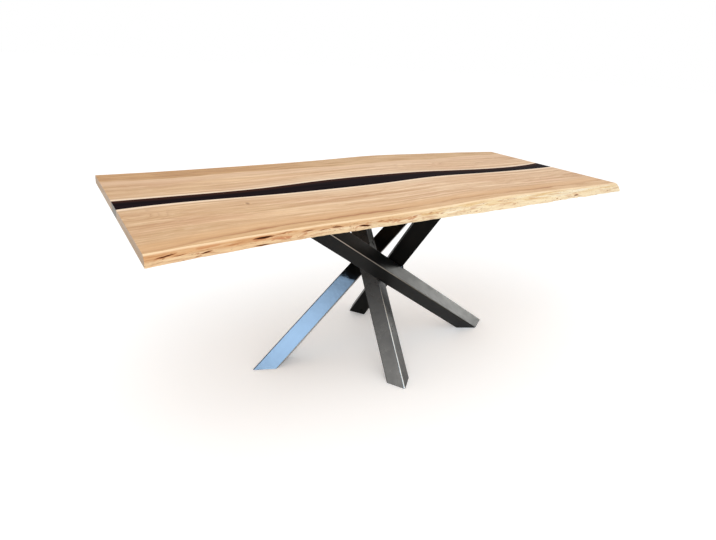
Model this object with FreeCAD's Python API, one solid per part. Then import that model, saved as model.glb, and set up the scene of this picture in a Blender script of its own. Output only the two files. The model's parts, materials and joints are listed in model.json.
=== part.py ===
import FreeCAD, Part
import math
import os

from FreeCAD import Vector

# Live edge dining table: two boards with a cast resin river, on a starburst of four square tubes.
# Millimetres. +X along the top, +Y towards the rear, +Z up, origin on the floor under the top's middle.

# Top
top_length = 2000.0
table_height = 760.0
top_thickness = 35.0
end_ease = 1.0
end_overshoot = 10.0
bond_line = 0.2

# Live edges and river banks: distance from the top's own line at nine even stations, left to right.
# The rims lie in the top face and the feet of the wane lie in the underside.
front_rim = (-456.0, -436.0, -428.0, -430.0, -418.0, -404.0, -412.0, -425.0, -440.0)
front_wane = (10.0, 6.0, 5.0, 10.0, 28.0, 56.0, 48.0, 38.0, 31.0)
rear_rim = (476.0, 461.0, 461.0, 464.0, 481.0, 501.0, 472.0, 439.0, 387.0)
rear_wane = (14.0, 12.0, 14.0, 18.0, 20.0, 16.0, 14.0, 16.0, 20.0)
front_bank = (-35.0, -25.0, -43.0, -47.0, -38.0, -18.0, -38.0, -55.0, -55.0)
rear_bank = (70.0, 60.0, 60.0, 90.0, 100.0, 88.0, 45.0, 20.0, 50.0)
bank_slope = 0.25
wane_crown = 5.0
crown_height_share = 0.55

# Base: every tube leans past the middle on its own right-hand side, so the four interlock like a pinwheel.
# The base's middle is set off from the middle of the top's own line.
tube_side = 72.0
tube_wall = 3.0
tube_corner = 4.0
long_half_span = 480.0
cross_half_span = 320.0
right_heading = 1.5
left_heading = 186.5
front_heading = 261.1
rear_heading = 84.5
base_offset_x = 3.7
base_offset_y = -1.4
contact_gap = 0.15
crossing_weld_radius = 9.0
head_weld_leg = 4.0

# Head plates and their fasteners
head_plate_thickness = 6.0
head_plate_margin = 11.0
head_plate_corner = 8.0
head_screw_inset = 16.0
head_screw_radius = 4.0
head_screw_length = 25.0
head_screw_cap_radius = 7.0
head_screw_cap_height = 4.4
head_screw_socket = 5.0
washer_radius = 10.0
washer_thickness = 1.6
insert_wall = 2.0
insert_length = 20.0
hole_clearance = 0.5
thread_clearance = 0.08
press_clearance = 0.1
drill_allowance = 1.0

# Feet and levelling glides
foot_rim_gap = 1.0
foot_plate_thickness = 5.0
foot_plate_clearance = 0.15
glide_radius = 18.0
glide_height = 8.0
glide_edge = 1.5
glide_seat_gap = 0.2
glide_stud_radius = 5.0
glide_stud_length = 28.0
glide_stud_grip = 4.0
foot_nut_flats = 17.0
foot_nut_height = 8.0

# Stiffeners let into the underside
stiffener_from_end = 280.0
stiffener_from_plate = 12.0
stiffener_length = 740.0
stiffener_width = 40.0
stiffener_depth = 12.0
stiffener_wall = 3.0
stiffener_clearance = 0.3
stiffener_screw_rows = (-300.0, -150.0, 150.0, 300.0)
stiffener_screw_radius = 3.0
stiffener_screw_length = 16.0
stiffener_screw_cap_radius = 5.25
stiffener_screw_cap_height = 3.3
stiffener_screw_socket = 4.0
stiffener_insert_wall = 1.5
stiffener_insert_length = 13.0

# Button head screws, as shares of the head's own height and radius
cap_rim_share = 0.35
cap_crown_share = 0.55
socket_depth_share = 0.6

# Two points closer than this count as one
same = 0.001

underside = table_height - top_thickness
head_plate_underside = underside - head_plate_thickness
up_z = Vector(0, 0, 1)


def export(name, shape):
    """Write one node after checking that it is sound."""
    if not shape.isValid():
        raise ValueError("unsound shape: " + name)
    shape.exportStep("parts/" + name + ".step")
    print(name, len(shape.Solids), "solids", round(shape.Volume), "mm3")


def group(solids):
    """Hold separate solids in one node."""
    return Part.makeCompound(list(solids))


# Top: boards and river

def edge_curve(offsets, shift, z):
    """A smooth edge through evenly spaced stations that overshoot both ends of the top."""
    half = top_length / 2 + end_overshoot
    step = 2 * half / (len(offsets) - 1)
    points = [Vector(-half + i * step, y + shift, z) for i, y in enumerate(offsets)]
    curve = Part.BSplineCurve()
    curve.interpolate(points)
    return curve.toShape()


def ring(near, far):
    """Close two long edges with straight ends."""
    near_start, near_end = near.Vertexes[0].Point, near.Vertexes[-1].Point
    far_start, far_end = far.Vertexes[0].Point, far.Vertexes[-1].Point
    right_end = Part.makeLine(near_end, far_end)
    left_end = Part.makeLine(far_start, near_start)
    return Part.Wire([near, right_end, far, left_end])


def top_section(drop, crown):
    """Outline of the whole top at a share of its depth, with the wane growing and bulging downwards."""
    z = table_height - drop * top_thickness
    front = [rim - drop * wane - crown for rim, wane in zip(front_rim, front_wane)]
    rear = [rim + drop * wane + crown for rim, wane in zip(rear_rim, rear_wane)]
    return ring(edge_curve(front, 0, z), edge_curve(rear, 0, z))


def top_blank():
    """The top as one body, cut square at both ends."""
    sections = [top_section(1, 0), top_section(crown_height_share, wane_crown), top_section(0, 0)]
    waned = Part.makeLoft(sections, True, False)
    reach = max(max(rear_rim) + max(rear_wane), max(front_wane) - min(front_rim)) + 2 * wane_crown
    saw = Part.makeBox(top_length, 2 * reach, 3 * top_thickness,
                       Vector(-top_length / 2, -reach, underside - top_thickness))
    return waned.common(saw)


def river_body(growth):
    """The river's space, narrowing towards the underside; growth widens it by that much on each bank."""
    levels = []
    for z in (underside - end_overshoot, table_height + end_overshoot):
        inset = bank_slope * (table_height - z) - growth
        levels.append(ring(edge_curve(front_bank, inset, z), edge_curve(rear_bank, -inset, z)))
    return Part.makeLoft(levels, True, True)


def ease_ends(board):
    """Take the sharp corner off the sawn ends."""
    edges = []
    for edge in board.Edges:
        box = edge.BoundBox
        at_end = abs(abs(box.Center.x) - top_length / 2) < same and box.XLength < same
        level = box.ZLength < same
        if at_end and level:
            edges.append(edge)
    return board.makeChamfer(end_ease, edges)


blank = top_blank()
to_middle = Vector(0, -blank.optimalBoundingBox(False).Center.y, 0)
base_middle = to_middle + Vector(base_offset_x, base_offset_y, 0)


# Legs

class Leg:
    """One straight tube: where its axis runs and the directions across it."""

    def __init__(self, heading, half_span, side_offset):
        angle = math.radians(heading)
        self.heading = heading
        self.forward = Vector(math.cos(angle), math.sin(angle), 0)
        self.right = Vector(math.sin(angle), -math.cos(angle), 0)
        self.middle = base_middle + self.right * side_offset + up_z * (underside / 2)
        self.down = (self.forward * (2 * half_span) - up_z * underside).normalize()
        self.up = self.right.cross(self.down).normalize()
        if self.up.z < 0:
            self.up = self.up * -1

    def at(self, z):
        """Point of the axis at a height."""
        return self.middle + self.down * ((z - self.middle.z) / self.down.z)

    def reach(self, direction):
        """How far the rounded tube reaches from its axis along a direction."""
        core = tube_side / 2 - tube_corner
        first = (self.up + self.right) * math.sqrt(0.5)
        second = (self.up - self.right) * math.sqrt(0.5)
        return core * (abs(direction.dot(first)) + abs(direction.dot(second))) + tube_corner

    def corner(self, direction):
        """The corner line of the tube that lies furthest along a direction, as an offset from the axis."""
        half_diagonal = (tube_side / 2 - tube_corner) * math.sqrt(2)
        choices = [self.up, self.up * -1, self.right, self.right * -1]
        best = max(choices, key=lambda c: c.dot(direction))
        return best * half_diagonal + direction * tube_corner

    def prism(self, side, corner, low, high):
        """A square bar along the axis, standing on edge, between two heights."""
        run = (high - low) / abs(self.down.z) + 4 * side
        profile = Part.makePlane(side, side, Vector(-side / 2, -side / 2, 0)).extrude(up_z * run)
        if corner > 0:
            uprights = [e for e in profile.Edges if abs(e.BoundBox.ZLength - run) < same]
            profile = profile.makeFillet(corner, uprights)
        on_edge = (self.up + self.right) * math.sqrt(0.5)
        turn = FreeCAD.Rotation(on_edge, Vector(), self.down, "ZXY")
        start = self.at(high) - self.down * (2 * side)
        profile.Placement = FreeCAD.Placement(start, turn)
        span = 2 * run + 4 * side
        centre = self.at((low + high) / 2)
        band = Part.makeBox(span, span, high - low, Vector(centre.x - span / 2, centre.y - span / 2, low))
        return profile.common(band).Solids[0]

    def outline(self, side, z):
        """Level cut of a sharp-cornered bar along the axis, as a closed wire."""
        points = []
        for across in (self.up, self.right, self.up * -1, self.right * -1):
            start = self.at(z) + across * (side * math.sqrt(0.5))
            points.append(start + self.down * ((z - start.z) / self.down.z))
        return Part.makePolygon(points + points[:1])

    def long_diagonal(self, side):
        """Length of the level cut along the leg's heading."""
        return side * math.sqrt(2) / abs(self.down.z)


def closest_points(start_a, along_a, start_b, along_b):
    """Points of two lines where they pass nearest to each other."""
    gap = start_b - start_a
    dot = along_a.dot(along_b)
    share = 1 - dot * dot
    t = (gap.dot(along_a) - dot * gap.dot(along_b)) / share
    s = (dot * gap.dot(along_a) - gap.dot(along_b)) / share
    return start_a + along_a * t, start_b + along_b * s


def common_normal(first, second):
    """Direction square to two legs, towards the first one's right."""
    normal = first.down.cross(second.down).normalize()
    if normal.dot(first.right) < 0:
        normal = normal * -1
    return normal


def needed_distance(first, second, normal):
    """How far apart two axes lie along a direction when their tubes just touch."""
    return first.reach(normal) + second.reach(normal) + contact_gap


def shared_offset(first, second):
    """Side offset, the same for both, at which two legs drawn through the base's middle just touch."""
    normal = common_normal(first, second)
    return needed_distance(first, second, normal) / normal.dot(first.right - second.right)


def touching_offset(leg, other):
    """Side offset at which a leg drawn through the base's middle just touches one already in place."""
    normal = common_normal(leg, other)
    needed = needed_distance(leg, other, normal) + normal.dot(other.middle - leg.middle)
    return needed / normal.dot(leg.right)


cross_offset = shared_offset(Leg(front_heading, cross_half_span, 0), Leg(rear_heading, cross_half_span, 0))
front_leg = Leg(front_heading, cross_half_span, cross_offset)
rear_leg = Leg(rear_heading, cross_half_span, cross_offset)
right_offset = touching_offset(Leg(right_heading, long_half_span, 0), rear_leg)
left_offset = touching_offset(Leg(left_heading, long_half_span, 0), front_leg)
legs = {
    "right": Leg(right_heading, long_half_span, right_offset),
    "left": Leg(left_heading, long_half_span, left_offset),
    "front": front_leg,
    "rear": rear_leg,
}


def tube(leg):
    """Hollow square tube, cut level at the head plate and just above the floor."""
    outer = leg.prism(tube_side, tube_corner, foot_rim_gap, head_plate_underside)
    bore_side = tube_side - 2 * tube_wall
    bore = leg.prism(bore_side, tube_corner - tube_wall, foot_rim_gap, head_plate_underside)
    return outer.cut(bore)


def crossing_weld(first, second):
    """Weld metal round the point where two tubes touch."""
    normal = first.down.cross(second.down).normalize()
    if normal.dot(second.middle - first.middle) < 0:
        normal = normal * -1
    start_a = first.middle + first.corner(normal)
    start_b = second.middle + second.corner(normal * -1)
    near, far = closest_points(start_a, first.down, start_b, second.down)
    centre = (near + far) * 0.5
    low = centre.z - 3 * crossing_weld_radius
    high = centre.z + 3 * crossing_weld_radius
    bead = Part.makeSphere(crossing_weld_radius, centre)
    for leg in (first, second):
        bead = bead.cut(leg.prism(tube_side, tube_corner, low, high))
    return bead.Solids[0]


def head_weld(leg):
    """Fillet weld round a tube, under its head plate."""
    wide = leg.outline(tube_side + 2 * head_weld_leg, head_plate_underside)
    narrow = leg.outline(tube_side, head_plate_underside - head_weld_leg)
    collar = Part.makeLoft([narrow, wide], True, True)
    low = head_plate_underside - 2 * head_weld_leg
    core = leg.prism(tube_side, tube_corner, low, head_plate_underside + head_weld_leg)
    return collar.cut(core)


# Head plates and their fasteners

def on_heading(leg, shape, z):
    """Turn a piece drawn about the origin to a leg's heading and set it on the axis at the head plate."""
    seat = leg.at(head_plate_underside)
    placed = shape.copy()
    placed.rotate(Vector(), up_z, leg.heading)
    placed.translate(Vector(seat.x, seat.y, z))
    return placed


def plate_size(leg):
    """Length and width of a head plate."""
    length = leg.long_diagonal(tube_side) + 2 * head_plate_margin
    width = tube_side * math.sqrt(2) + 2 * head_plate_margin
    return length, width


def plate_screws(leg):
    """Places of a head plate's screws, about the plate's middle."""
    length, width = plate_size(leg)
    x = length / 2 - head_screw_inset
    y = width / 2 - head_screw_inset
    return [Vector(sx * x, sy * y, 0) for sx in (-1, 1) for sy in (-1, 1)]


def head_plate(leg):
    """Flat plate with rounded corners and a screw hole near each corner."""
    length, width = plate_size(leg)
    plate = Part.makeBox(length, width, head_plate_thickness, Vector(-length / 2, -width / 2, 0))
    uprights = [e for e in plate.Edges if e.BoundBox.ZLength > head_plate_thickness / 2]
    plate = plate.makeFillet(head_plate_corner, uprights)
    for place in plate_screws(leg):
        plate = plate.cut(Part.makeCylinder(head_screw_radius + hole_clearance, head_plate_thickness, place))
    return on_heading(leg, plate, head_plate_underside)


def hexagon(flats, height, z):
    """Hexagonal prism of a given width across its flats."""
    radius = flats / math.sqrt(3)
    points = [Vector(radius * math.cos(math.radians(60 * i)), radius * math.sin(math.radians(60 * i)), z)
              for i in range(7)]
    return Part.Face(Part.makePolygon(points)).extrude(up_z * height)


def cap_screw(radius, length, cap_radius, cap_height, socket):
    """Button head screw pointing up, with its head's bearing face at zero height."""
    rim = cap_height * cap_rim_share
    crown = cap_radius * cap_crown_share
    outline = [Vector(0, 0, -cap_height), Vector(crown, 0, -cap_height), Vector(cap_radius, 0, -rim),
               Vector(cap_radius, 0, 0), Vector(radius, 0, 0), Vector(radius, 0, length),
               Vector(0, 0, length)]
    body = Part.Face(Part.makePolygon(outline + outline[:1])).revolve(Vector(), up_z, 360)
    return body.cut(hexagon(socket, cap_height * socket_depth_share, -cap_height))


def sleeve(outer, inner, height):
    """Plain tube standing on zero height."""
    return Part.makeCylinder(outer, height).cut(Part.makeCylinder(inner, height))


def at_head_screws(shape, z):
    """Copies of a fastener at every head plate screw."""
    placed = []
    for leg in legs.values():
        for place in plate_screws(leg):
            single = shape.copy()
            single.translate(place)
            placed.append(on_heading(leg, single, z))
    return placed


# Feet and levelling glides

foot_plate_low = glide_height + glide_seat_gap


def foot_place(leg):
    """Point on the floor under the middle of a foot's opening."""
    seat = leg.at(glide_height / 2)
    return Vector(seat.x, seat.y, 0)


def foot_plate(leg):
    """Plate let into the tube's lower end, drilled for the glide's stud."""
    bore_side = tube_side - 2 * tube_wall - 2 * foot_plate_clearance
    high = foot_plate_low + foot_plate_thickness
    plate = leg.prism(bore_side, tube_corner - tube_wall, foot_plate_low, high)
    hole = Part.makeCylinder(glide_stud_radius + hole_clearance, 2 * foot_plate_thickness, foot_place(leg))
    hole.translate(up_z * (foot_plate_low - foot_plate_thickness / 2))
    return plate.cut(hole)


def foot_nut(leg):
    """Weld nut that takes the glide's stud."""
    bore = Part.makeCylinder(glide_stud_radius + thread_clearance, foot_nut_height)
    nut = hexagon(foot_nut_flats, foot_nut_height, 0).cut(bore)
    nut.translate(foot_place(leg) + up_z * (foot_plate_low + foot_plate_thickness))
    return nut


def glide_pad(leg):
    """Round pad that rests on the floor, with a socket moulded round the stud's head."""
    pad = Part.makeCylinder(glide_radius, glide_height)
    rims = [e for e in pad.Edges if e.BoundBox.ZLength < same]
    pad = pad.makeChamfer(glide_edge, rims)
    socket = Part.makeCylinder(glide_stud_radius, glide_stud_grip, up_z * (glide_height - glide_stud_grip))
    pad = pad.cut(socket)
    pad.translate(foot_place(leg))
    return pad


def glide_stud(leg):
    """Threaded stud, shown plain, that stands in the pad and turns in the weld nut."""
    stud = Part.makeCylinder(glide_stud_radius, glide_stud_grip + glide_stud_length)
    stud.translate(foot_place(leg) + up_z * (glide_height - glide_stud_grip))
    return stud


# Stiffeners

def channel(place, gap):
    """Channel with its web flush with the underside and its flanges up; gap grows it into its groove."""
    width = stiffener_width + 2 * gap
    length = stiffener_length + 2 * gap
    outer = Part.makeBox(width, length, stiffener_depth + gap, Vector(-width / 2, -length / 2, 0))
    room = stiffener_width - 2 * stiffener_wall - 2 * gap
    corner = Vector(-room / 2, -length / 2, stiffener_wall + gap)
    inner = Part.makeBox(room, length, stiffener_depth + gap, corner)
    shape = outer.cut(inner)
    shape.translate(Vector(place, 0, underside))
    return shape


def stiffener_screw_places(place):
    """Screw places along one channel, on the underside."""
    return [Vector(place, y, underside) for y in stiffener_screw_rows]


def stiffener(place):
    """Channel drilled for its screws."""
    shape = channel(place, 0)
    for point in stiffener_screw_places(place):
        shape = shape.cut(Part.makeCylinder(stiffener_screw_radius + hole_clearance, stiffener_wall, point))
    return shape


def at_stiffener_screws(shape, lift):
    """Copies of a fastener at every stiffener screw."""
    placed = []
    for place in stiffener_places:
        for point in stiffener_screw_places(place):
            single = shape.copy()
            single.translate(point + up_z * lift)
            placed.append(single)
    return placed


def plate_reach():
    """How far the head plates reach along the top from its middle."""
    reaches = []
    for leg in legs.values():
        length, width = plate_size(leg)
        turn = math.radians(leg.heading)
        half = (length * abs(math.cos(turn)) + width * abs(math.sin(turn))) / 2
        reaches.append(abs(leg.at(head_plate_underside).x) + half)
    return max(reaches)


# The channels stand near the ends of the top, and clear of the head plates
stiffener_place = max(top_length / 2 - stiffener_from_end,
                      plate_reach() + stiffener_from_plate + stiffener_width / 2)
stiffener_places = (-stiffener_place, stiffener_place)
head_insert_radius = head_screw_radius + thread_clearance + insert_wall
stiffener_insert_radius = stiffener_screw_radius + thread_clearance + stiffener_insert_wall
stiffener_insert_lift = stiffener_wall + stiffener_clearance


def underside_cuts():
    """What is routed and drilled into the underside of the boards and the river."""
    cuts = [channel(place, stiffener_clearance) for place in stiffener_places]
    bore = Part.makeCylinder(head_insert_radius + press_clearance, insert_length + drill_allowance)
    cuts += at_head_screws(bore, underside)
    bore = Part.makeCylinder(stiffener_insert_radius + press_clearance,
                             stiffener_insert_lift + stiffener_insert_length + drill_allowance)
    cuts += at_stiffener_screws(bore, 0)
    return cuts


# Build

os.makedirs("parts", exist_ok=True)

river_room = river_body(bond_line / 2)
river_fill = river_body(-bond_line / 2)
for shape in (blank, river_room, river_fill):
    shape.translate(to_middle)

boards = sorted(blank.cut(river_room).Solids, key=lambda s: s.CenterOfMass.y)
river = blank.common(river_fill).Solids[0]
top_pieces = {"slab_front": boards[0], "slab_rear": boards[-1], "resin_river": river}
cuts = underside_cuts()
for name, piece in top_pieces.items():
    export(name, ease_ends(piece).cut(cuts).Solids[0])

for name, leg in legs.items():
    export("leg_" + name, tube(leg))
    export("head_plate_" + name, head_plate(leg))
    export("foot_plate_" + name, foot_plate(leg))
    export("glide_pad_" + name, glide_pad(leg))
    export("glide_stud_" + name, glide_stud(leg))

touching = (("right", "rear"), ("left", "front"), ("front", "rear"))
export("crossing_welds", group(crossing_weld(legs[a], legs[b]) for a, b in touching))
export("head_welds", group(head_weld(leg) for leg in legs.values()))
export("foot_nuts", group(foot_nut(leg) for leg in legs.values()))

washer = sleeve(washer_radius, head_screw_radius + hole_clearance, washer_thickness)
washer_seat = head_plate_underside - washer_thickness
export("head_washers", group(at_head_screws(washer, washer_seat)))
screw = cap_screw(head_screw_radius, head_screw_length, head_screw_cap_radius, head_screw_cap_height,
                  head_screw_socket)
export("head_screws", group(at_head_screws(screw, washer_seat)))
insert = sleeve(head_insert_radius, head_screw_radius + thread_clearance, insert_length)
export("head_inserts", group(at_head_screws(insert, underside)))

export("stiffener_left", stiffener(-stiffener_place))
export("stiffener_right", stiffener(stiffener_place))
screw = cap_screw(stiffener_screw_radius, stiffener_screw_length, stiffener_screw_cap_radius,
                  stiffener_screw_cap_height, stiffener_screw_socket)
export("stiffener_screws", group(at_stiffener_screws(screw, 0)))
insert = sleeve(stiffener_insert_radius, stiffener_screw_radius + thread_clearance, stiffener_insert_length)
export("stiffener_inserts", group(at_stiffener_screws(insert, stiffener_insert_lift)))
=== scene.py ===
import json
import math

import bpy
import numpy as np
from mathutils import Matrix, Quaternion, Vector, noise
from mathutils.bvhtree import BVHTree

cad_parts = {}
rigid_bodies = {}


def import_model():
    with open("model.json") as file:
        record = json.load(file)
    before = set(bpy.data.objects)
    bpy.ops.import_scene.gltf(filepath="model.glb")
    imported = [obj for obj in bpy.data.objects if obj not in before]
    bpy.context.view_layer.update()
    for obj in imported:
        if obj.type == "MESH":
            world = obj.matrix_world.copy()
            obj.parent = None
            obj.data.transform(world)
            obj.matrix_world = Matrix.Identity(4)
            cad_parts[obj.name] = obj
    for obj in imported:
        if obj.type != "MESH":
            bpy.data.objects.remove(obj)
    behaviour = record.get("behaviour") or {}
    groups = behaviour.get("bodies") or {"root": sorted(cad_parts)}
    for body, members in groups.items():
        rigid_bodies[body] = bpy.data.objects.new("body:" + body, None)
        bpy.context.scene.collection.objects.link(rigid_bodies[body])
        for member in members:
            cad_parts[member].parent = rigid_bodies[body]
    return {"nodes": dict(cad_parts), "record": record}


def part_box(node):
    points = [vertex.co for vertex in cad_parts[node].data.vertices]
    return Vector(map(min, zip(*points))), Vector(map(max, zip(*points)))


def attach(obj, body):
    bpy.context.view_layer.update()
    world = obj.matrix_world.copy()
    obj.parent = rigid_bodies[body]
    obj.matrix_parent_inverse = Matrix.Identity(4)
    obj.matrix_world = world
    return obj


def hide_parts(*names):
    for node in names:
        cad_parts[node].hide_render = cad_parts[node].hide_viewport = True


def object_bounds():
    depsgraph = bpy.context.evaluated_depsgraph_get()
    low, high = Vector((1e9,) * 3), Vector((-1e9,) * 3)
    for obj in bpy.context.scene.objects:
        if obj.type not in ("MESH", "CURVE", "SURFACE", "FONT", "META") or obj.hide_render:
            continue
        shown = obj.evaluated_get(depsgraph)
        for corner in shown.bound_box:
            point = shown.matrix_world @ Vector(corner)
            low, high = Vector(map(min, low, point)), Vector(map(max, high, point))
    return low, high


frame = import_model()
cad_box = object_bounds()

# Camera: the photograph's own viewpoint, in metres and degrees, for a picture of 716 by 540
CAMERA_PLACE = (-1.1897, -1.8115, 1.2584)
CAMERA_TURN = (72.181, -3.497, -35.805)
PICTURE_WIDTH = 716
PICTURE_HEIGHT = 540
FOCAL_PIXELS = 522.6
PICTURE_CENTRE = (410.95, 225.07)
SENSOR_MM = 36.0

# Boards: spacing of the modelled surface and softness of the worked edges, in metres
STATION_GAP = 0.004
TOP_POINTS = 14
WANE_POINTS = 34
UNDER_POINTS = 5
WANE_LEVELS = 9
SKIN = 0.0003
END_EASE = 0.001
END_CLEAR = 0.003
RIM_ROUND = 0.0025
FOOT_ROUND = 0.0008
UNDER_LIFT = 0.0003
RIM_LINE = 0.0015
SMOOTHING = 0.05
BANK_LEVEL = 0.02
# Share of the wane that its upper rim counts as, so that the rim belongs to the live edge
WANE_START = 0.02
GRAIN_WIDTH = 0.40
SHARP_ANGLE = math.radians(38)

# Waver of the rim: height and waves per metre
RIM_WAVERS = ((0.0012, 14), (0.0006, 55))
# Swells of the live edge: height, waves per metre along it, slant, waves down it, step of the seed
SWELLS = ((0.0022, 7, 1.0, 1.5, 2), (0.0012, 26, 0.0, 4, 4), (0.0007, 90, 0.0, 12, 6))
# The ragged foot of the live edge: full depth, share that is cut everywhere, waves per metre of its coarse
# and fine cuts, share of the fine ones, share of the depth kept at the left and where it starts to grow
RAGGED_FOOT = 0.010
RAGGED_BASE = 0.55
RAGGED_COARSE = 11
RAGGED_FINE = 41
RAGGED_FINE_SHARE = 0.7
RAGGED_LEFT_SHARE = 0.35
RAGGED_GROWS_FROM = -0.2

# Bark pockets: overrun past each end, waver of their line (share of the depth, waves per metre, seed) and how
# it differs between them, share of the stated height that is cut, spread of the stain past the cut, and the
# depth at which the stain is darkest
POCKET_OVERRUN = 0.1
POCKET_WAVERS = ((0.035, 45, 3.0), (0.02, 140, 5.0))
POCKET_SPREAD = 9
POCKET_HEIGHT = 0.8
POCKET_STAIN = 2.2
POCKET_DARK = 0.006
# Bark pockets of each live edge: where each starts and ends along the top and down the edge
# (share of the depth), half height at its middle, depth
FRONT_POCKETS = (
    (-0.978, 0.44, -0.922, 0.27, 0.0016, 0.004),
    (-0.935, 0.50, -0.895, 0.40, 0.0009, 0.002),
    (-0.880, 0.90, -0.858, 0.80, 0.0010, 0.002),
    (-0.864, 0.68, -0.832, 0.54, 0.0018, 0.004),
    (-0.800, 0.42, -0.752, 0.33, 0.0008, 0.001),
    (-0.720, 0.29, -0.656, 0.24, 0.0026, 0.007),
    (-0.720, 0.86, -0.666, 0.91, 0.0017, 0.004),
    (-0.655, 0.24, -0.590, 0.09, 0.0010, 0.002),
    (-0.572, 0.29, -0.528, 0.26, 0.0013, 0.003),
    (-0.520, 0.42, -0.476, 0.35, 0.0009, 0.002),
    (-0.477, 0.30, -0.432, 0.39, 0.0015, 0.004),
    (-0.380, 0.53, -0.334, 0.59, 0.0022, 0.006),
    (-0.312, 0.38, -0.284, 0.33, 0.0010, 0.002),
    (-0.172, 0.42, -0.146, 0.37, 0.0010, 0.002),
    (-0.100, 0.35, -0.080, 0.32, 0.0009, 0.002),
    (-0.050, 0.53, -0.032, 0.51, 0.0009, 0.002),
    (0.110, 0.79, 0.126, 0.77, 0.0009, 0.002),
    (0.309, 0.65, 0.329, 0.63, 0.0010, 0.002),
    (0.562, 0.75, 0.580, 0.73, 0.0010, 0.002),
    (0.682, 0.72, 0.712, 0.66, 0.0016, 0.004),
)
REAR_POCKETS = (
    (-0.842, 0.54, -0.800, 0.46, 0.0016, 0.003),
    (-0.640, 0.33, -0.580, 0.27, 0.0024, 0.005),
    (-0.350, 0.60, -0.312, 0.65, 0.0015, 0.003),
    (-0.086, 0.44, -0.034, 0.36, 0.0020, 0.005),
    (0.165, 0.72, 0.196, 0.68, 0.0014, 0.003),
    (0.388, 0.40, 0.452, 0.32, 0.0025, 0.006),
    (0.642, 0.57, 0.678, 0.53, 0.0015, 0.003),
    (0.858, 0.46, 0.902, 0.38, 0.0018, 0.004),
)
# Distance of the growth line inside each rim at nine even stations
FRONT_GROWTH = (0.008, 0.036, 0.048, 0.046, 0.038, 0.041, 0.034, 0.050, 0.070)
REAR_GROWTH = (0.125, 0.135, 0.120, 0.135, 0.160, 0.165, 0.155, 0.110, 0.080)
# Small knots in the top face: place and radius, drawn out along the grain
KNOTS = ((-0.914, 0.377, 0.011), (-0.783, -0.176, 0.005), (-0.623, -0.143, 0.006), (0.060, -0.405, 0.006))
KNOT_STRETCH = 2.2
# Curled figure in the top face: place, length and width
CURLS = ((-0.955, -0.155, 0.075, 0.045), (-0.30, -0.20, 0.10, 0.02), (0.62, -0.23, 0.12, 0.025),
         (0.35, 0.20, 0.10, 0.03))

# Tubes, in metres, and their corners as they lie when looking from a tube's head to its foot
TUBE_SIDE = 0.072
TUBE_WALL = 0.003
TUBE_CORNER = 0.004
CORNER_STEPS = 8
ABOVE, LEFT, RIGHT = 0, 1, 3

# Stage
FLOOR_SIZE = 80
FLOOR_GREY = 0.93
FLOOR_GLOW = 0.24
SKY_LEVEL = 0.9
WHITE = (1.0, 1.0, 1.0)


def tone(red, green, blue):
    """A colour as it reads on screen, 0 to 255, as the linear value that shaders take."""
    values = []
    for level in (red, green, blue):
        share = level / 255
        values.append(share / 12.92 if share <= 0.04045 else ((share + 0.055) / 1.055) ** 2.4)
    return (*values, 1.0)


# Timber: the heart and the live edge, from their dark to their pale streaks, to the left and to the right
HEART_LEFT = ((0.35, tone(188, 144, 98)), (0.45, tone(210, 171, 127)), (0.55, tone(220, 183, 141)),
              (0.66, tone(243, 210, 168)))
HEART_RIGHT = ((0.38, tone(202, 160, 121)), (0.46, tone(222, 186, 148)), (0.54, tone(231, 197, 160)),
               (0.62, tone(249, 221, 187)))
EDGE_LEFT = ((0.30, tone(178, 116, 72)), (0.41, tone(214, 160, 112)), (0.51, tone(233, 188, 140)),
             (0.60, tone(247, 214, 170)), (0.72, tone(254, 234, 198)))
EDGE_RIGHT = ((0.30, tone(212, 168, 112)), (0.41, tone(240, 210, 160)), (0.53, tone(250, 230, 190)),
              (0.68, tone(255, 246, 222)))
# Growth rings: how many to the metre, and how strongly each is drawn from its start to its end
RINGS_PER_METRE = 48.0
RING_PROFILE = ((0.0, 0.25), (0.35, 0.0), (0.72, 0.35), (0.93, 1.0), (1.0, 0.25))
# Tones laid over the heart
LEFT_END = tone(196, 158, 116)
BLUSH = tone(220, 172, 140)
RING_BROWN = tone(184, 134, 94)
FIGURE_DARK = tone(190, 140, 100)
FIGURE_PALE = tone(250, 222, 186)
INNER_LIGHT = tone(248, 211, 168)
BANK_WIDE = tone(242, 216, 184)
BANK_PALE = tone(250, 226, 198)
BANK_DARK = tone(184, 140, 100)
# Tones laid over the live edge
# Paler sapwood at the foot of the live edge, made paler still as painted light on its down-facing lower part
FOOT_SAPWOOD_AND_LIGHT_LEFT = tone(255, 220, 174)
FOOT_SAPWOOD_AND_LIGHT_RIGHT = tone(255, 236, 198)
RAW_BROWN = tone(196, 124, 84)
UPPER_TAN = tone(214, 162, 112)
CHECK_BROWN = tone(176, 112, 66)
FLECK_BROWN = tone(140, 88, 50)
# Painted highlight along the rounded rim of the live edge
RIM_HIGHLIGHT = tone(254, 226, 186)
# Tones of the marks and of the sawn ends
THREAD_BROWN = tone(178, 130, 88)
FIBRE_BROWN = tone(186, 138, 94)
PORE_BROWN = tone(150, 104, 66)
KNOT_BROWN = tone(120, 74, 42)
POCKET_RIM = tone(190, 118, 70)
POCKET_WALL = tone(104, 56, 30)
POCKET_HEART = tone(46, 24, 14)
END_PALE = tone(192, 167, 141)
END_RING = tone(140, 112, 88)
END_SAWN = tone(160, 142, 124)

# Resin and metal
RESIN_BODY = ((0.36, tone(14, 8, 12)), (0.50, tone(27, 17, 21)), (0.62, tone(20, 12, 14)),
              (0.76, tone(40, 26, 30)))
RESIN_GLOW = tone(66, 36, 26)
RESIN_SAWN = ((0.3, tone(136, 132, 126)), (0.7, tone(176, 172, 166)))
RESIN_INDEX = 1.013
COATING = ((0.35, tone(14, 14, 14)), (0.55, tone(18, 18, 17)), (0.75, tone(24, 23, 21)))
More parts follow.
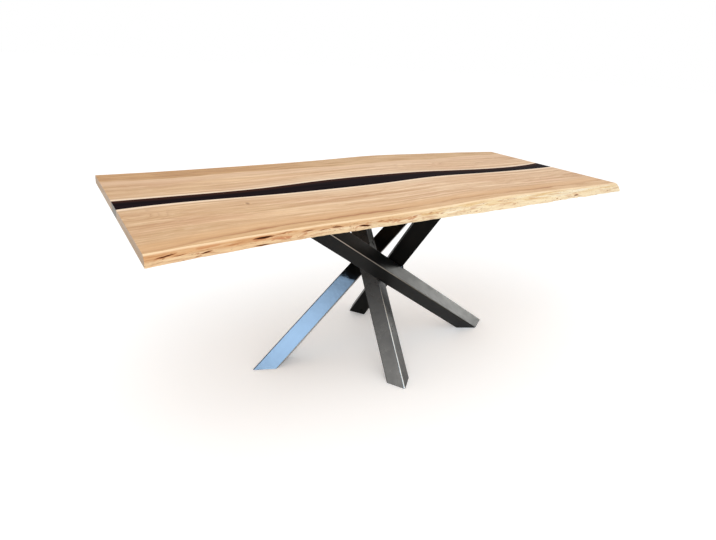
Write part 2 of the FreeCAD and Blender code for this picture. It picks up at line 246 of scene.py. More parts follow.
# Painted highlight: a pale tone laid along one corner of each tube
RIDGE_HIGHLIGHT_TONE = tone(246, 234, 216)
ZINC = (tone(176, 178, 180), tone(214, 215, 216))
BRASS = (tone(168, 132, 66), tone(206, 170, 98))
NYLON = ((0.45, tone(24, 24, 25)), (0.75, tone(62, 61, 60)))


class Nodes:
    """The nodes of one shader tree. Any input takes a plain value or another node's output."""

    def __init__(self, tree):
        self.tree = tree

    def add(self, kind, inputs=None, **settings):
        node = self.tree.nodes.new(kind)
        for key, value in settings.items():
            setattr(node, key, value)
        for key, value in (inputs or {}).items():
            self.feed(node.inputs[key], value)
        return node

    def feed(self, socket, value):
        if isinstance(value, bpy.types.NodeSocket):
            self.tree.links.new(value, socket)
        else:
            socket.default_value = value

    def math(self, operation, first, second=0.0):
        return self.add("ShaderNodeMath", {0: first, 1: second}, operation=operation).outputs[0]

    def plus(self, first, second):
        return self.math("ADD", first, second)

    def minus(self, first, second):
        return self.math("SUBTRACT", first, second)

    def times(self, first, second):
        return self.math("MULTIPLY", first, second)

    def span(self, value, low, high):
        """Rise from 0 to 1 as a value goes from low to high."""
        node = self.add("ShaderNodeMapRange", {0: value, 1: low, 2: high}, interpolation_type="SMOOTHSTEP")
        return node.outputs[0]

    def seen(self):
        """1 for rays that show a thing itself or its mirror image, 0 for those that only carry its light."""
        ray = self.add("ShaderNodeLightPath").outputs
        shown = self.math("MAXIMUM", ray["Is Camera Ray"], ray["Is Glossy Ray"])
        return self.math("MAXIMUM", shown, ray["Is Transmission Ray"])


class Graph(Nodes):
    """The nodes of one new material."""

    def __init__(self, name):
        self.material = bpy.data.materials.new(name)
        self.material.use_nodes = True
        super().__init__(self.material.node_tree)
        self.tree.nodes.clear()
        self.shader = self.add("ShaderNodeBsdfPrincipled")
        self.output = self.add("ShaderNodeOutputMaterial")
        self.feed(self.output.inputs[0], self.shader.outputs[0])

    def surface(self, **inputs):
        """Set the shader's inputs by name, with underscores for spaces."""
        for key, value in inputs.items():
            self.feed(self.shader.inputs[key.replace("_", " ")], value)

    def named(self, name):
        return self.add("ShaderNodeAttribute", attribute_name=name)

    def own_space(self):
        return self.add("ShaderNodeTexCoord").outputs["Object"]

    def scaled(self, vector, scale):
        return self.add("ShaderNodeVectorMath", {0: vector, 1: scale}, operation="MULTIPLY").outputs[0]

    def mix(self, share, first, second):
        return self.add("ShaderNodeMix", {0: share, 6: first, 7: second}, data_type="RGBA").outputs[2]

    def tint(self, colour, over, share, strength):
        """Lay a tone over a colour by a share of a strength."""
        return self.mix(self.times(share, strength), colour, over)

    def noise(self, vector, scale, detail=2.0, roughness=0.5, distortion=0.0):
        node = self.add("ShaderNodeTexNoise", {"Vector": vector, "Scale": scale, "Detail": detail,
                                               "Roughness": roughness, "Distortion": distortion})
        return node.outputs[0]

    def ramp(self, share, *stops):
        """Colours or greys at places from 0 to 1."""
        node = self.add("ShaderNodeValToRGB", {0: share})
        elements = node.color_ramp.elements
        while len(elements) < len(stops):
            elements.new(1.0)
        for element, (place, colour) in zip(elements, stops):
            element.position = place
            element.color = colour if isinstance(colour, tuple) else (colour, colour, colour, 1.0)
        return node.outputs[0]

    def at_ends(self):
        """1 on faces that look along the table, 0 on the rest."""
        normal = self.add("ShaderNodeNewGeometry").outputs["True Normal"]
        facing = self.add("ShaderNodeSeparateXYZ", {0: normal}).outputs[0]
        return self.span(self.math("ABSOLUTE", facing), 0.70, 0.95)

    def bump(self, height, strength, distance):
        node = self.add("ShaderNodeBump", {"Strength": strength, "Distance": distance, "Height": height})
        self.surface(Normal=node.outputs[0])


# Materials

class Timber(Graph):
    """Pale live edge timber: rings about a pith line, fibres, a growth line near the rim and bark pockets.

    The pith is given across the board from its rim and down from its top face."""

    def __init__(self, name, pith_across, pith_down):
        super().__init__(name)
        self.grain = self.named("grain").outputs["Vector"]
        self.along, self.across, self.down = self.add("ShaderNodeSeparateXYZ", {0: self.grain}).outputs
        self.growth = self.named("growth").outputs["Fac"]
        self.bank = self.named("bank").outputs["Fac"]
        self.pocket = self.named("pocket").outputs["Fac"]
        self.knot = self.named("knot").outputs["Fac"]
        self.curl = self.named("curl").outputs["Fac"]
        self.wane = self.named("wane").outputs["Fac"]
        self.sway = self.streaks(1.3, 6.0, 3.0)
        self.ripple = self.streaks(7.0, 40.0)
        self.patch = self.streaks(3.0, 9.0, 3.0)
        self.fibre = self.streaks(24.0, 620.0, 3.0, 0.6)
        self.pores = self.span(self.streaks(70.0, 1500.0), 0.60, 0.74)
        self.rightward = self.span(self.along, -0.9, 0.2)
        self.rings = self.ring_lines(pith_across, pith_down)

    def streaks(self, along, across, detail=2.0, roughness=0.5, distortion=0.0):
        """Noise drawn out along the grain, in waves per metre along and across it."""
        place = self.scaled(self.grain, (along, across, across))
        return self.noise(place, 1.0, detail, roughness, distortion)

    def ring_lines(self, pith_across, pith_down):
        """Growth rings about the pith that sway, ripple and bend round the knots and curls."""
        across, down = self.minus(self.across, pith_across), self.minus(self.down, pith_down)
        radius = self.math("SQRT", self.plus(self.times(across, across), self.times(down, down)))
        for bend, reach in ((self.sway, 0.07), (self.ripple, 0.012), (self.knot, 0.03), (self.curl, 0.09)):
            radius = self.plus(radius, self.times(bend, reach))
        return self.ramp(self.math("FRACT", self.times(radius, RINGS_PER_METRE)), *RING_PROFILE)

    def heart(self):
        """The body of the board, with slow changes of tone along it, rings and a fine figure."""
        streak = self.streaks(1.5, 34.0, 5.0, 0.62)
        colour = self.mix(self.rightward, self.ramp(streak, *HEART_LEFT), self.ramp(streak, *HEART_RIGHT))
        colour = self.tint(colour, LEFT_END, self.span(self.along, -0.65, -1.0), 0.40)
        colour = self.tint(colour, BLUSH, self.span(self.patch, 0.48, 0.70), 0.35)
        age = self.streaks(0.4, 26.0, 2.0, 0.6)
        age = self.plus(self.times(age, 0.75), self.times(self.curl, 0.35))
        colour = self.tint(colour, RING_BROWN, self.rings, age)
        figure = self.streaks(10.0, 90.0, 3.0, 0.6, 1.4)
        colour = self.tint(colour, FIGURE_DARK, self.span(figure, 0.50, 0.66), 0.32)
        return self.tint(colour, FIGURE_PALE, self.span(figure, 0.48, 0.34), 0.30)

    def band(self, colour, outside, line_tone, inside, blur):
        """The band near the rim and the broken growth line that bounds it."""
        line = self.growth
        wander = self.streaks(5.0, 3.0, 3.0, 0.6)
        for bend, reach in ((self.ripple, 0.022), (self.sway, 0.022), (wander, 0.05)):
            line = self.plus(line, self.times(self.minus(bend, 0.5), reach))
        drawn = self.streaks(5.0, 60.0, 4.0, 0.65, 0.5)
        left, right = [self.ramp(drawn, (0.36, deep), (0.64, pale)) for deep, pale in outside]
        band = self.mix(self.span(self.along, -0.45, 0.05), left, right)
        warm = self.ramp(self.span(line, 0.0, 0.09), (0.0, 0.9), (0.5, 0.7), (1.0, 0.0))
        colour = self.tint(colour, inside, warm, 0.75)
        light = self.ramp(self.span(line, 0.05, 0.17), (0.0, 0.0), (0.4, 1.0), (0.6, 1.0), (1.0, 0.0))
        lit = self.ramp(self.span(self.along, -1.0, 0.3), (0.05, 0.0), (0.25, 0.45), (0.9, 0.0))
        colour = self.tint(colour, INNER_LIGHT, light, lit)
        colour = self.mix(self.span(line, blur, -blur), colour, band)
        mark = self.ramp(self.span(line, -0.010, 0.030),
                         (0.0, 0.0), (0.18, 0.9), (0.30, 1.0), (0.50, 0.35), (1.0, 0.0))
        mark = self.times(mark, self.ramp(self.span(self.along, -1.0, -0.65), (0.0, 0.35), (1.0, 1.0)))
        broken = self.span(self.streaks(2.6, 9.0), 0.34, 0.60)
        return self.tint(colour, line_tone, mark, self.plus(self.times(broken, 0.70), 0.22))

    def river_bank(self, colour):
        """Pale wood along the resin, with a darker line behind it."""
        paler = self.ramp(self.span(self.along, -1.1, 1.1),
                          (0.05, 0.1), (0.22, 0.65), (0.60, 0.6), (0.85, 0.1))
        colour = self.tint(colour, BANK_WIDE, self.span(self.bank, 0.11, 0.0), paler)
        edge = self.plus(self.bank, self.times(self.minus(self.patch, 0.5), 0.030))
        pale = self.ramp(self.span(edge, 0.0, 0.05), (0.0, 1.0), (0.25, 0.9), (0.52, 0.0))
        colour = self.tint(colour, BANK_PALE, pale, 0.85)
        dark = self.ramp(self.span(edge, 0.008, 0.055), (0.0, 0.0), (0.22, 1.0), (0.45, 0.2), (1.0, 0.0))
        return self.tint(colour, BANK_DARK, dark, 0.45)

    def live_edge(self, colour):
        """The live edge itself: orange and streaked to the left, cream to the right, paler at its foot
        (partly painted light on its down-facing lower part), with a painted highlight along its rim.
        """
        drawn = self.streaks(6.0, 95.0, 4.0, 0.62, 0.6)
        left, right = self.ramp(drawn, *EDGE_LEFT), self.ramp(drawn, *EDGE_RIGHT)
        edge = self.mix(self.span(self.along, -0.75, 0.0), left, right)
        # Paler sapwood at the foot, brightened further as painted light on the down-facing lower wane
        foot = self.mix(self.span(self.along, -0.75, 0.1), FOOT_SAPWOOD_AND_LIGHT_LEFT, FOOT_SAPWOOD_AND_LIGHT_RIGHT)
        edge = self.tint(edge, foot, self.span(self.wane, 0.40, 0.70), 0.85)
        raw = self.span(self.streaks(14.0, 75.0, 4.0, 0.65, 0.8), 0.52, 0.61)
        raw = self.times(raw, self.ramp(self.rightward, (0.0, 0.85), (0.7, 0.75), (1.0, 0.30)))
        raw_down = self.ramp(self.wane, (0.08, 0.2), (0.25, 1.0), (0.60, 1.0), (0.85, 0.25))
        edge = self.tint(edge, RAW_BROWN, raw, raw_down)
        upper = self.ramp(self.wane, (0.05, 0.0), (0.14, 0.5), (0.36, 0.4), (0.55, 0.0))
        edge = self.tint(edge, UPPER_TAN, upper, self.span(self.along, 0.1, -0.3))
        checks = self.streaks(16.0, 330.0, 3.0, 0.6, 0.5)
        edge = self.tint(edge, CHECK_BROWN, self.span(checks, 0.57, 0.68), 0.55)
        flecks = self.streaks(60.0, 210.0)
        edge = self.tint(edge, FLECK_BROWN, self.span(flecks, 0.64, 0.74), 0.7)
        # A thin cream line at the top of the wane: a painted highlight along the rounded rim
        edge = self.mix(self.ramp(self.wane, (0.02, 0.9), (0.07, 0.7), (0.15, 0.0)), edge, RIM_HIGHLIGHT)
        return self.mix(self.span(self.wane, 0.004, 0.016), colour, edge)

    def marks(self, colour):
        """Threads, fibres, pores, knots and the stain of the bark pockets."""
        threads = self.streaks(7.0, 150.0, 3.0, 0.6)
        colour = self.tint(colour, THREAD_BROWN, self.span(threads, 0.50, 0.72), 0.30)
        colour = self.tint(colour, FIBRE_BROWN, self.fibre, 0.12)
        colour = self.tint(colour, PORE_BROWN, self.pores, 0.25)
        colour = self.tint(colour, KNOT_BROWN, self.span(self.knot, 0.2, 0.9), 0.7)
        colour = self.tint(colour, POCKET_RIM, self.span(self.pocket, 0.02, 0.40), 0.8)
        colour = self.mix(self.span(self.pocket, 0.35, 0.75), colour, POCKET_WALL)
        return self.mix(self.span(self.pocket, 0.70, 1.0), colour, POCKET_HEART)

    def end_grain(self, colour):
        """Rings and saw marks on the sawn ends."""
        sawn = self.noise(self.scaled(self.grain, (300.0, 160.0, 90.0)), 1.0, 3.0, 0.6)
        end = self.tint(END_PALE, END_RING, self.rings, 0.5)
        end = self.tint(end, END_SAWN, sawn, 0.35)
        return self.mix(self.at_ends(), colour, end)

    def oil(self, colour):
        """Satin oil over the fibres, duller and coarser on the live edge."""
        shine = self.plus(self.times(self.fibre, 0.16), self.times(self.rings, -0.06))
        shine = self.plus(shine, self.times(self.span(self.wane, 0.05, 0.25), 0.14))
        self.surface(Base_Color=colour, Roughness=self.plus(shine, 0.42), Specular_IOR_Level=0.10)
        height = self.plus(self.times(self.fibre, 0.5), self.times(self.rings, 0.25))
        height = self.minus(height, self.pores)
        coarse = self.streaks(40.0, 260.0, 4.0, 0.65)
        height = self.plus(height, self.times(coarse, self.times(self.wane, 5.0)))
        self.bump(height, 0.35, 0.0006)


def wood(name, pith_across, pith_down, outside, line_tone, inside, blur):
    """The timber of one board.

    The tones are those outside the growth line, to the left and to the right, on it and just inside it.
    The blur is half the width over which they change."""
    timber = Timber(name, pith_across, pith_down)
    colour = timber.band(timber.heart(), outside, line_tone, inside, blur)
    colour = timber.live_edge(timber.river_bank(colour))
    timber.oil(timber.end_grain(timber.marks(colour)))
    return timber.material


def resin():
    """Cast resin, near black, where the sloping rear bank glows through as a brown edge."""
    g = Graph("cast_resin")
    place = g.named("grain").outputs["Vector"]
    far = g.named("far").outputs["Fac"]
    swirl = g.noise(g.scaled(place, (3.0, 22.0, 22.0)), 1.0, 5.0, 0.6, 0.8)
    drift = g.times(g.minus(swirl, 0.5), 0.05)
    body = g.tint(g.ramp(swirl, *RESIN_BODY), RESIN_GLOW, g.span(g.plus(far, drift), 0.045, 0.0), 0.8)
    end = g.at_ends()
    sawn = g.noise(g.scaled(place, (200.0, 90.0, 240.0)), 1.0, 3.0, 0.6)
    body = g.mix(end, body, g.ramp(sawn, *RESIN_SAWN))
    polish = g.noise(g.scaled(place, (14.0, 14.0, 14.0)), 1.0, 3.0, 0.5)
    roughness = g.plus(g.times(polish, 0.06), 0.05)
    g.surface(Base_Color=body, IOR=RESIN_INDEX, Roughness=g.plus(roughness, g.times(end, 0.4)))
    g.bump(polish, 0.05, 0.0004)
    return g.material


def coating(name, place_name, stretch, gloss, lustre):
    """Dark lacquer on steel with the fine lines of the drawn metal under it, and a painted highlight along a
    corner.

    The place is a named mesh attribute; without one it is the object's own space. The gloss is its
    roughness before the marks are added, and the lustre is the lacquer's refractive index."""
    g = Graph(name)
    place = g.named(place_name).outputs["Vector"] if place_name else g.own_space()
    corner = g.span(g.named("corner").outputs["Fac"], 0.0, 1.0)
    cloud = g.noise(g.scaled(place, stretch), 6.0, 4.0, 0.6)
    drawn = g.noise(g.scaled(place, stretch), 150.0, 4.0, 0.7)
    haze = g.noise(place, 26.0, 5.0, 0.65)
    peel = g.noise(place, 900.0, 2.0, 0.5)
    # Painted highlight: a pale, faintly metallic and rougher tone along the chosen corner
    painted_highlight = g.times(corner, g.plus(g.times(g.span(drawn, 0.25, 0.60), 0.5), 0.4))
    roughness = g.plus(g.times(cloud, 0.05), g.times(drawn, 0.06))
    roughness = g.plus(roughness, g.times(painted_highlight, 0.25))
    roughness = g.plus(roughness, g.times(g.minus(haze, 0.5), 0.24))
    g.surface(Base_Color=g.mix(painted_highlight, g.ramp(cloud, *COATING), RIDGE_HIGHLIGHT_TONE), Metallic=g.times(painted_highlight, 0.25),
              IOR=lustre, Roughness=g.plus(roughness, gloss))
    height = g.plus(g.times(peel, 0.3), drawn)
    g.bump(g.plus(height, g.times(haze, 40.0)), 0.04, 0.0003)
    return g.material


def metal(name, tones, roughness):
    """Turned or plated metal with fine tool marks and slight staining, from a dark to a light tone."""
    g = Graph(name)
    place = g.own_space()
    stain = g.noise(place, 60.0, 4.0, 0.6)
    marks = g.noise(g.scaled(place, (300.0, 300.0, 2400.0)), 1.0, 2.0, 0.5)
    g.surface(Base_Color=g.ramp(stain, (0.3, tones[0]), (0.7, tones[1])), Metallic=1.0,
              Roughness=g.plus(g.times(marks, 0.18), roughness))
    g.bump(marks, 0.10, 0.0002)
    return g.material


def nylon():
    """Moulded black nylon with a fine spark-eroded texture and scuffs."""
    g = Graph("glide_nylon")
    place = g.own_space()
    spark = g.noise(place, 1400.0, 3.0, 0.7)
    scuff = g.noise(g.scaled(place, (90.0, 30.0, 60.0)), 1.0, 4.0, 0.6)
    g.surface(Base_Color=g.ramp(scuff, *NYLON), Roughness=g.plus(g.times(spark, 0.2), 0.5))
    g.bump(spark, 0.25, 0.0003)
    return g.material


# Mesh helpers

def make_piece(name, points, faces, material, nodes, attributes):
    """A new smooth piece that stands for CAD nodes and rides with the table."""
    mesh = bpy.data.meshes.new(name)
    mesh.from_pydata(points, [], faces)
    mesh.validate()
    for key, values in attributes.items():
        values = np.array(values, dtype=np.float32)
        kind, field = ("FLOAT_VECTOR", "vector") if values.ndim == 2 else ("FLOAT", "value")
        mesh.attributes.new(key, kind, "POINT").data.foreach_set(field, values.ravel())
    mesh.materials.append(material)
    mesh.polygons.foreach_set("use_smooth", [True] * len(mesh.polygons))
    mesh.set_sharp_from_angle(angle=SHARP_ANGLE)
    piece = bpy.data.objects.new(name, mesh)
    bpy.context.scene.collection.objects.link(piece)
    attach(piece, "table")
    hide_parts(*nodes)
    return piece


def wall_faces(pairs, columns):
    """Quads between pairs of closed loops, each of so many points."""
    faces = []
    for row, next_row in pairs:
        for column in range(columns):
            following = (column + 1) % columns
            faces.append((row * columns + column, row * columns + following,
                          next_row * columns + following, next_row * columns + column))
    return faces


def bar_faces(rows, columns):
    """Quads that join closed loops in a row, with a face over each end."""
    faces = wall_faces([(row, row + 1) for row in range(rows - 1)], columns)
    faces.append(tuple(reversed(range(columns))))
    faces.append(tuple(range((rows - 1) * columns, rows * columns)))
    return faces


def turned_over(faces):
    return [tuple(reversed(face)) for face in faces]


def wobble(x, y, seed):
    """Smooth noise from about -1 to 1."""
    return noise.noise(Vector((x, y, seed)))


def limited(value, low=0.0, high=1.0):
    return min(max(value, low), high)


def drawn_in(radius, reach):
    """How far a rounding draws a face in, at a reach from the edge that it rounds."""
    return radius - math.sqrt(radius ** 2 - max(radius - reach, 0.0) ** 2)


def smooth(values):
    """Running mean along the stations, with the ends held."""
    half = max(1, round(SMOOTHING / STATION_GAP / 2))
    padded = np.pad(values, half, mode="reflect", reflect_type="odd")
    return np.convolve(padded, np.full(2 * half + 1, 1 / (2 * half + 1)), "valid")


class Side:
    """Where a CAD solid of the top begins and ends across the table, read off the solid itself."""

    def __init__(self, node):
        mesh = frame["nodes"][node].data
        self.tree = BVHTree.FromPolygons([v.co for v in mesh.vertices], [p.vertices for p in mesh.polygons])
        self.low, self.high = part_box(node)
        self.depth = self.high.z - self.low.z
        count = round((self.high.x - self.low.x) / STATION_GAP) + 1
        self.stations = np.linspace(self.low.x + END_EASE, self.high.x - END_EASE, count)

    def edge(self, drop, towards):
        """The face met first below the top face when coming from outside in a direction across the table."""
        found = []
        for x in np.clip(self.stations, self.low.x + END_CLEAR, self.high.x - END_CLEAR):
            spot = self.tree.ray_cast(Vector((x, -towards, self.high.z - drop)), Vector((0, towards, 0)))[0]
            found.append(spot.y)
        return smooth(np.array(found))

    def rows(self):
        """Each row of points: its station, its place along the table and its highest and lowest level.

        The sawn faces themselves are rows too, a little in from the top and the underside."""
        last = len(self.stations) - 1
        top, under = self.high.z, self.low.z + UNDER_LIFT
        yield 0, self.stations[0] - END_EASE, top - END_EASE, under + END_EASE
        for station, x in enumerate(self.stations):
            yield station, x, top, under
        yield last, self.stations[last] + END_EASE, top - END_EASE, under + END_EASE


# Boards and river

def pocket_depth(pockets, x, share, depth):
    """How deep the bark pockets cut at a place on the live edge, and how dark they are there, 0 to 1."""
    cut, dark = 0.0, 0.0
    for x0, share0, x1, share1, half_height, deep in pockets:
        along = (x - x0) / (x1 - x0)
        if not -POCKET_OVERRUN < along < 1 + POCKET_OVERRUN:
            continue
        taper = math.sin(math.pi * limited((along + POCKET_OVERRUN) / (1 + 2 * POCKET_OVERRUN)))
        level = share0 + (share1 - share0) * along
        level += sum(height * wobble(x * waves, share0 * POCKET_SPREAD, seed)
                     for height, waves, seed in POCKET_WAVERS)
        off = abs(share - level) * depth / (POCKET_HEIGHT * half_height * taper + 1e-6)
        cut = max(cut, deep * max(1 - off * off, 0.0) * taper)
        stain = max(1 - (off / POCKET_STAIN) ** 2, 0.0) * taper ** 0.6
        dark = max(dark, stain * min(1.0, deep / POCKET_DARK) ** 0.5)
    return cut, dark


def edge_swell(x, share, seed):
    """How far the live edge swells in and out, dying away at its rim and its foot."""
    swell = sum(height * wobble(x * along + share * slant, share * down, seed + step)
                for height, along, slant, down, step in SWELLS)
    return swell * math.sin(math.pi * share) ** 0.5


def edge_raggedness(x, share, seed):
    """How far the ragged foot of the live edge is broken away."""
    ragged = RAGGED_BASE + wobble(x * RAGGED_COARSE, share, seed + 8)
    ragged += RAGGED_FINE_SHARE * wobble(x * RAGGED_FINE, share * 2, seed + 9)
    growth = RAGGED_LEFT_SHARE + (1 - RAGGED_LEFT_SHARE) * limited(x - RAGGED_GROWS_FROM)
    return RAGGED_FOOT * max(ragged, 0.0) * share ** 3 * growth


def knot_at(x, y):
    return max(max(0.0, 1 - math.hypot((x - kx) / KNOT_STRETCH, y - ky) / size) for kx, ky, size in KNOTS)


def curl_at(x, y):
    return sum(math.exp(-((x - cx) / long) ** 2 - ((y - cy) / wide) ** 2) for cx, cy, long, wide in CURLS)


def board(name, node, outward, pockets, growth_stations, material, seed):
    """One live edge board, modelled over its CAD solid with a rippled, pocketed wane."""
    side = Side(node)
    low, high, depth = side.low, side.high, side.depth
    levels = np.linspace(SKIN, depth - SKIN, WANE_LEVELS)
    outlines = np.array([side.edge(drop, -outward) for drop in levels])
    bank_top, bank_mid = side.edge(SKIN, outward), side.edge(BANK_LEVEL, outward)
    bank_foot = bank_mid + (bank_mid - bank_top) * (depth - BANK_LEVEL) / (BANK_LEVEL - SKIN)
    growth_at = np.interp(side.stations, np.linspace(low.x, high.x, len(growth_stations)), growth_stations)

    points = []
    marks = {"grain": [], "growth": [], "bank": [], "wane": [], "pocket": [], "knot": [], "curl": []}

    def put(x, y, z, lines, share=0.0, dark=0.0):
        """Add a point, with what the timber needs to know of its place between the rim and the bank."""
        rim, bank, growth = lines
        inside = (rim - y) * outward
        points.append((x, y, z))
        marks["grain"].append((x, inside / ((rim - bank) * outward) * GRAIN_WIDTH, z - high.z))
        marks["growth"].append(inside - growth)
        marks["bank"].append((y - bank) * outward)
        marks["wane"].append(share)
        marks["pocket"].append(dark)
        marks["knot"].append(knot_at(x, y) if z > high.z - SKIN else 0.0)
        marks["curl"].append(curl_at(x, y))

    rows = 0
    for i, x, ceiling, floor in side.rows():
        rows += 1
        waver = sum(height * wobble(x * waves, 0.0, seed) for height, waves in RIM_WAVERS)
        rim = outlines[0, i] - outward * (RIM_ROUND + waver)
        lines = (rim, bank_top[i], growth_at[i])
        inside_rim = 1 - RIM_LINE / abs(rim - bank_top[i])
        for across in (*np.linspace(0, 1, TOP_POINTS, endpoint=False), inside_rim):
            put(x, bank_top[i] + (rim - bank_top[i]) * across, ceiling, lines)
        for share in np.linspace(0, 1, WANE_POINTS):
            drop = share * depth
            cut, dark = pocket_depth(pockets, x, share, depth)
            y = np.interp(drop, levels, outlines[:, i])
            y -= outward * drawn_in(RIM_ROUND, drop)
            y -= outward * drawn_in(FOOT_ROUND, depth - drop)
            y -= outward * (waver + edge_swell(x, share, seed) + cut + edge_raggedness(x, share, seed))
            y = limited(y, cad_box[0][1], cad_box[1][1])
            put(x, y, limited(high.z - drop, floor, ceiling), lines, max(share, WANE_START), dark)
        foot = points[-1][1]
        for across in np.linspace(0, 1, UNDER_POINTS)[1:]:
            put(x, foot + (bank_foot[i] - foot) * across, floor, lines)
        put(x, (bank_foot[i] + bank_top[i]) / 2, (ceiling + floor) / 2, lines)

    faces = bar_faces(rows, len(points) // rows)
    if outward < 0:
        faces = turned_over(faces)
    make_piece(name, points, faces, material, [node], marks)


def river(name, node, material):
    """The cast resin between the boards, flush with them.

    Its distance from the rear bank is kept for the glow."""
    side = Side(node)
    front, rear = side.edge(SKIN, 1), side.edge(SKIN, -1)
    inset = (side.edge(BANK_LEVEL, 1) - front) / (BANK_LEVEL - SKIN) * side.depth
    points, far = [], []
    rows = 0
    for i, x, ceiling, floor in side.rows():
        rows += 1
        loop = [(front[i] + (rear[i] - front[i]) * share, ceiling) for share in np.linspace(0, 1, TOP_POINTS)]
        loop += [(rear[i] - inset[i], floor), (front[i] + inset[i], floor)]
        points += [(x, y, z) for y, z in loop]
        far += [rear[i] - y for y, z in loop]
    faces = turned_over(bar_faces(rows, len(points) // rows))
    make_piece(name, points, faces, material, [node], {"grain": points, "far": far})


# Tubes

def leg(name, node, material, lean, ridge_highlight):
    """One square tube on edge, with finely rounded corners, cut level at both ends and open at the foot.

    The lean, in degrees about the tube and along it, turns the shading of its faces only. The painted
    highlight along the chosen corner changes evenly from head to foot, and counts as none below 0 and as
    full above 1."""
    places = np.array([v.co for v in frame["nodes"][node].data.vertices])
    ends = []
    for z in (places[:, 2].min(), places[:, 2].max()):
        rim = places[np.abs(places[:, 2] - z) < SKIN]
        ends.append(Vector((rim.min(0) + rim.max(0)) / 2))
    foot, head = ends
    along = (foot - head).normalized()
    right = Vector((along.y, -along.x, 0)).normalized()
    up = right.cross(along).normalized()
    first, second = (up + right) / math.sqrt(2), (up - right) / math.sqrt(2)
    turn = Quaternion(along, math.radians(lean[0])) @ Quaternion(first, math.radians(lean[1]))

    # The loops run up the outside and back down the inside
    # The chosen corner and the strength of its painted highlight at the head and at the foot
    highlight_corner, highlight_at_head, highlight_at_foot = ridge_highlight
    outside = (TUBE_SIDE, TUBE_CORNER, 1)
    inside = (TUBE_SIDE - 2 * TUBE_WALL, TUBE_CORNER - TUBE_WALL, -1)
    loops = ((outside, foot, highlight_at_foot), (outside, head, highlight_at_head), (inside, head, 0.0), (inside, foot, 0.0))
    points, normals, grain, painted_highlight = [], [], [], []
    for (side, corner, facing), start, highlight_level in loops:
        core = side / 2 - corner
        for quarter in range(4):
            middle = math.radians(90 * quarter + 45)
            centre = (math.copysign(core, math.cos(middle)), math.copysign(core, math.sin(middle)))
            for step in range(CORNER_STEPS + 1):
                angle = math.radians(90 * (quarter + step / CORNER_STEPS))
                outward = first * math.cos(angle) + second * math.sin(angle)
                spot = start + first * centre[0] + second * centre[1] + outward * corner
                spot += along * ((start.z - spot.z) / along.z)
                points.append(tuple(spot))
                normals.append(turn @ outward * facing)
                grain.append([(spot - head).dot(axis) for axis in (along, first, second)])
                # Painted highlight, strongest on the crest of the chosen corner
                crest = math.sin(math.pi * step / CORNER_STEPS) ** 2
                painted_highlight.append(highlight_level * crest if quarter == highlight_corner else 0.0)
    faces = wall_faces([(row, (row + 1) % len(loops)) for row in range(len(loops))], 4 * (CORNER_STEPS + 1))
    piece = make_piece(name, points, faces, material, [node],
                       {"grain": grain, "corner": painted_highlight})
    piece.data.normals_split_custom_set_from_vertices(normals)


# Pieces of the table

finishes = {
    "leg_coating": coating("leg_coating", "", (1.0, 1.0, 1.0), 0.24, 1.23),
    "zinc_steel": metal("zinc_steel", ZINC, 0.22),
    "insert_brass": metal("insert_brass", BRASS, 0.28),
    "glide_nylon": nylon(),
}
for part in frame["record"]["subparts"]:
    finish = finishes.get(part["material_slot"])
    if finish:
        target = frame["nodes"][part["node"]]
        target.data.materials.clear()
        target.data.materials.append(finish)

front_timber = wood(
    "front_timber", pith_across=0.30, pith_down=-0.06,
    outside=((tone(200, 156, 108), tone(228, 190, 144)), (tone(206, 164, 120), tone(234, 198, 156))),
    line_tone=tone(168, 112, 68), inside=tone(222, 176, 126), blur=0.004)
rear_timber = wood(
    "rear_timber", pith_across=0.26, pith_down=-0.09,
    outside=((tone(172, 124, 76), tone(210, 166, 116)), (tone(190, 148, 102), tone(224, 188, 146))),
    line_tone=tone(240, 206, 166), inside=tone(226, 190, 156), blur=0.022)
board("front_board", "slab_front", -1, FRONT_POCKETS, FRONT_GROWTH, front_timber, seed=11.0)
board("rear_board", "slab_rear", 1, REAR_POCKETS, REAR_GROWTH, rear_timber, seed=29.0)
river("river", "resin_river", resin())
# Each tube: its gloss and lustre, how far its faces lean in the light, about the tube and along it, and the
# corner that carries a painted highlight, with its strength at its head and foot
TUBES = (
    ("right", 0.32, 1.20, (0.0, 0.0), (RIGHT, 0.75, 0.05)),
    ("left", 0.03, 1.215, (-5.0, -2.9), (LEFT, 0.0, 0.9)),
    ("front", 0.24, 1.34, (0.0, 0.0), (ABOVE, -1.3, 1.75)),
    ("rear", 0.24, 1.08, (0.0, 0.0), (ABOVE, 0.1, 0.1)),
)
for place, gloss, lustre, lean, ridge_highlight in TUBES:
    coat = coating("tube_coating_" + place, "grain", (0.03, 1.0, 1.0), gloss, lustre)
    leg("tube_" + place, "leg_" + place, coat, lean, ridge_highlight)


# Stage: floor, light and camera

def floor():
    """A plain pale floor that takes the table's shadow and is clear from below."""
    bpy.ops.mesh.primitive_plane_add(size=FLOOR_SIZE)
    plane = bpy.context.object
    plane.name = "floor"
    g = Graph("floor")
    g.surface(Base_Color=(FLOOR_GREY, FLOOR_GREY, FLOOR_GREY, 1.0), Roughness=0.9, Specular_IOR_Level=0.0,
              Emission_Color=(*WHITE, 1.0), Emission_Strength=g.times(g.seen(), FLOOR_GLOW))
    under = g.add("ShaderNodeNewGeometry").outputs["Backfacing"]
    clear = g.add("ShaderNodeBsdfTransparent").outputs[0]
    both = g.add("ShaderNodeMixShader", {0: under, 1: g.shader.outputs[0], 2: clear})
    g.feed(g.output.inputs[0], both.outputs[0])
    plane.data.materials.append(g.material)


def sky(level):
    """Even white surroundings at a plain level, pure white where they are seen."""
    world = bpy.data.worlds.new("studio")
    world.use_nodes = True
    bpy.context.scene.world = world
    g = Nodes(world.node_tree)
    strength = g.add("ShaderNodeMapRange", {"Value": g.seen(), "To Min": level, "To Max": 1.0}).outputs[0]
    background = g.tree.nodes["Background"].inputs
    g.feed(background["Color"], (*WHITE, 1.0))
    g.feed(background["Strength"], strength)


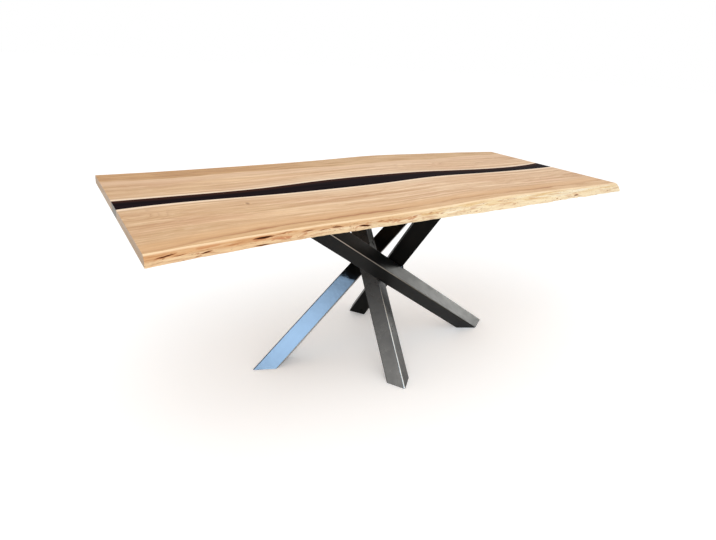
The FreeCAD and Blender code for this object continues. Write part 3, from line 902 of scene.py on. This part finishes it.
def softbox(name, place, target, size, radiance, colour):
    """A soft rectangular lamp aimed at a point, unseen by the camera."""
    data = bpy.data.lights.new(name, "AREA")
    data.shape = "RECTANGLE"
    data.size, data.size_y = size
    data.energy = radiance * math.pi * size[0] * size[1]
    data.color = colour
    lamp = bpy.data.objects.new(name, data)
    bpy.context.scene.collection.objects.link(lamp)
    lamp.location = place
    lamp.rotation_euler = (Vector(target) - Vector(place)).to_track_quat("-Z", "Y").to_euler()
    lamp.visible_camera = False
    return lamp


def reflector(name, place, target, size, radiance, colour, reach):
    """A panel that only shows mirrored in the steel, brightest at its middle and gone at its reach."""
    lamp = softbox(name, place, target, size, radiance, colour)
    lamp.visible_diffuse = False
    lamp.light_linking.receiver_collection = steel
    lamp.data.use_nodes = True
    g = Nodes(lamp.data.node_tree)
    spot = g.add("ShaderNodeNewGeometry").outputs["Position"]
    off = g.add("ShaderNodeVectorMath", {0: spot, 1: place}, operation="DISTANCE").outputs["Value"]
    g.feed(g.tree.nodes["Emission"].inputs["Strength"], g.span(off, reach, 0.0))


def camera():
    """The photograph's camera, with the shift that its re-centred framing needs."""
    data = bpy.data.cameras.new("camera")
    data.sensor_width = SENSOR_MM
    data.lens = FOCAL_PIXELS / PICTURE_WIDTH * SENSOR_MM
    data.shift_x = (PICTURE_WIDTH / 2 - PICTURE_CENTRE[0]) / PICTURE_WIDTH
    data.shift_y = (PICTURE_CENTRE[1] - PICTURE_HEIGHT / 2) / PICTURE_WIDTH
    viewer = bpy.data.objects.new("camera", data)
    viewer.location = CAMERA_PLACE
    viewer.rotation_euler = [math.radians(angle) for angle in CAMERA_TURN]
    bpy.context.scene.collection.objects.link(viewer)
    bpy.context.scene.camera = viewer


steel = bpy.data.collections.new("steel")
for piece in bpy.data.objects:
    if piece.type == "MESH" and piece.data.materials and "coating" in piece.data.materials[0].name:
        steel.objects.link(piece)
floor()
sky(SKY_LEVEL)
softbox("key", place=(-1.2, -1.6, 3.2), target=(0.0, 0.0, 0.7), size=(2.5, 2.0), radiance=1.3, colour=WHITE)
reflector("window", place=(-1.72, -3.27, 1.96), target=(-0.34, 0.03, 0.14), size=(2.4, 2.4),
          radiance=89.0, colour=(0.45, 0.69, 1.0), reach=1.6)
reflector("right_panel", place=(3.0, -0.10, 0.35), target=(0.2, -0.14, 0.2), size=(0.8, 2.4),
          radiance=16.5, colour=(1.0, 1.0, 0.95), reach=1.5)
reflector("left_panel", place=(-3.0, -0.80, 0.75), target=(-0.1, -0.3, 0.1), size=(2.2, 2.2),
          radiance=14.5, colour=(1.0, 0.97, 0.92), reach=1.3)
camera()
bpy.context.scene.view_settings.view_transform = "Standard"
